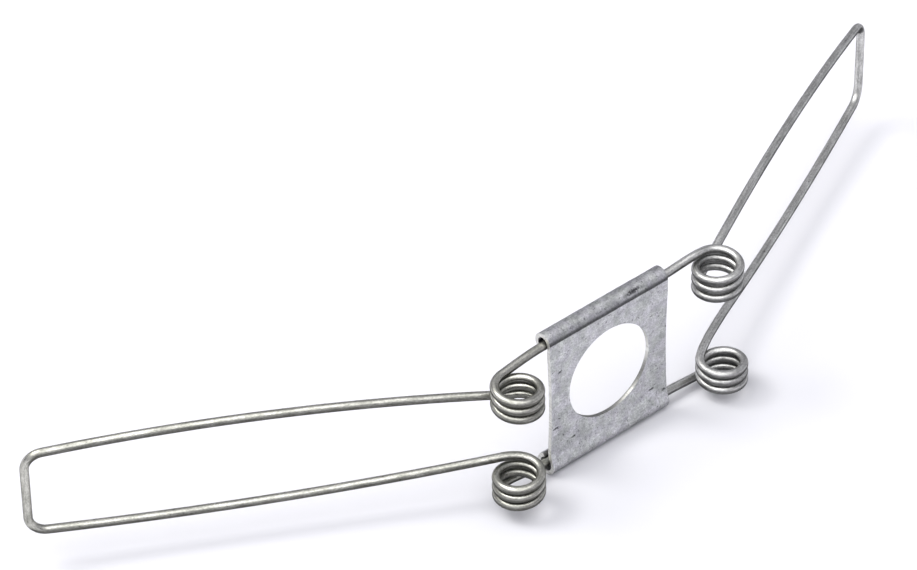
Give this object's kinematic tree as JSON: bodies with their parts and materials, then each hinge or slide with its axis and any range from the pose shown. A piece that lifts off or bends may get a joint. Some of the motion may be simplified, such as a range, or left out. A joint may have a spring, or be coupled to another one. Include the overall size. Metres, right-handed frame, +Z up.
{
  "type": "double torsion spring clip",
  "caption": "Sheet-metal plate with a round hole and rolled edges, carrying a wire torsion spring with a long U-shaped bail on each side; the bails squeeze together behind the plate.",
  "frame": {"origin": "centre of the plate's round hole, halfway through the sheet", "axes": "+X along the plate's rolled edges, +Y to the back, the side the bails fold to, +Z up along the bails' hinge axes"},
  "size_m": [0.2551, 0.0672, 0.041],
  "materials": {
    "plate": "galvanised, satin, with small dents and scratches",
    "left_wire": "drawn spring wire, zinc plated, semi-bright",
    "right_wire": "drawn spring wire, zinc plated, semi-bright"
  },
  "bodies": {
    "plate_and_legs": {"plate": "plate", "left_upper_leg": "left_wire", "left_upper_coil": "left_wire", "left_lower_leg": "left_wire", "left_lower_coil": "left_wire", "right_upper_leg": "right_wire", "right_upper_coil": "right_wire", "right_lower_leg": "right_wire", "right_lower_coil": "right_wire"},
    "left_bail": {"left_bail": "left_wire"},
    "right_bail": {"right_bail": "right_wire"}
  },
  "joints": [
    {"name": "left_bail_hinge", "type": "hinge", "parent": "plate_and_legs", "child": "left_bail", "pos_m": [-0.031, -0.004, -0.0008], "axis": [0, 0, -1], "range_deg": [-30, 60], "stiffness_Nm_per_rad": 2.4, "deforming": ["left_upper_coil", "left_lower_coil"]},
    {"name": "right_bail_hinge", "type": "hinge", "parent": "plate_and_legs", "child": "right_bail", "pos_m": [0.0306, -0.004, -0.001], "axis": [0, 0, 1], "range_deg": [-25, 65], "stiffness_Nm_per_rad": 2.4, "deforming": ["right_upper_coil", "right_lower_coil"]}
  ]
}
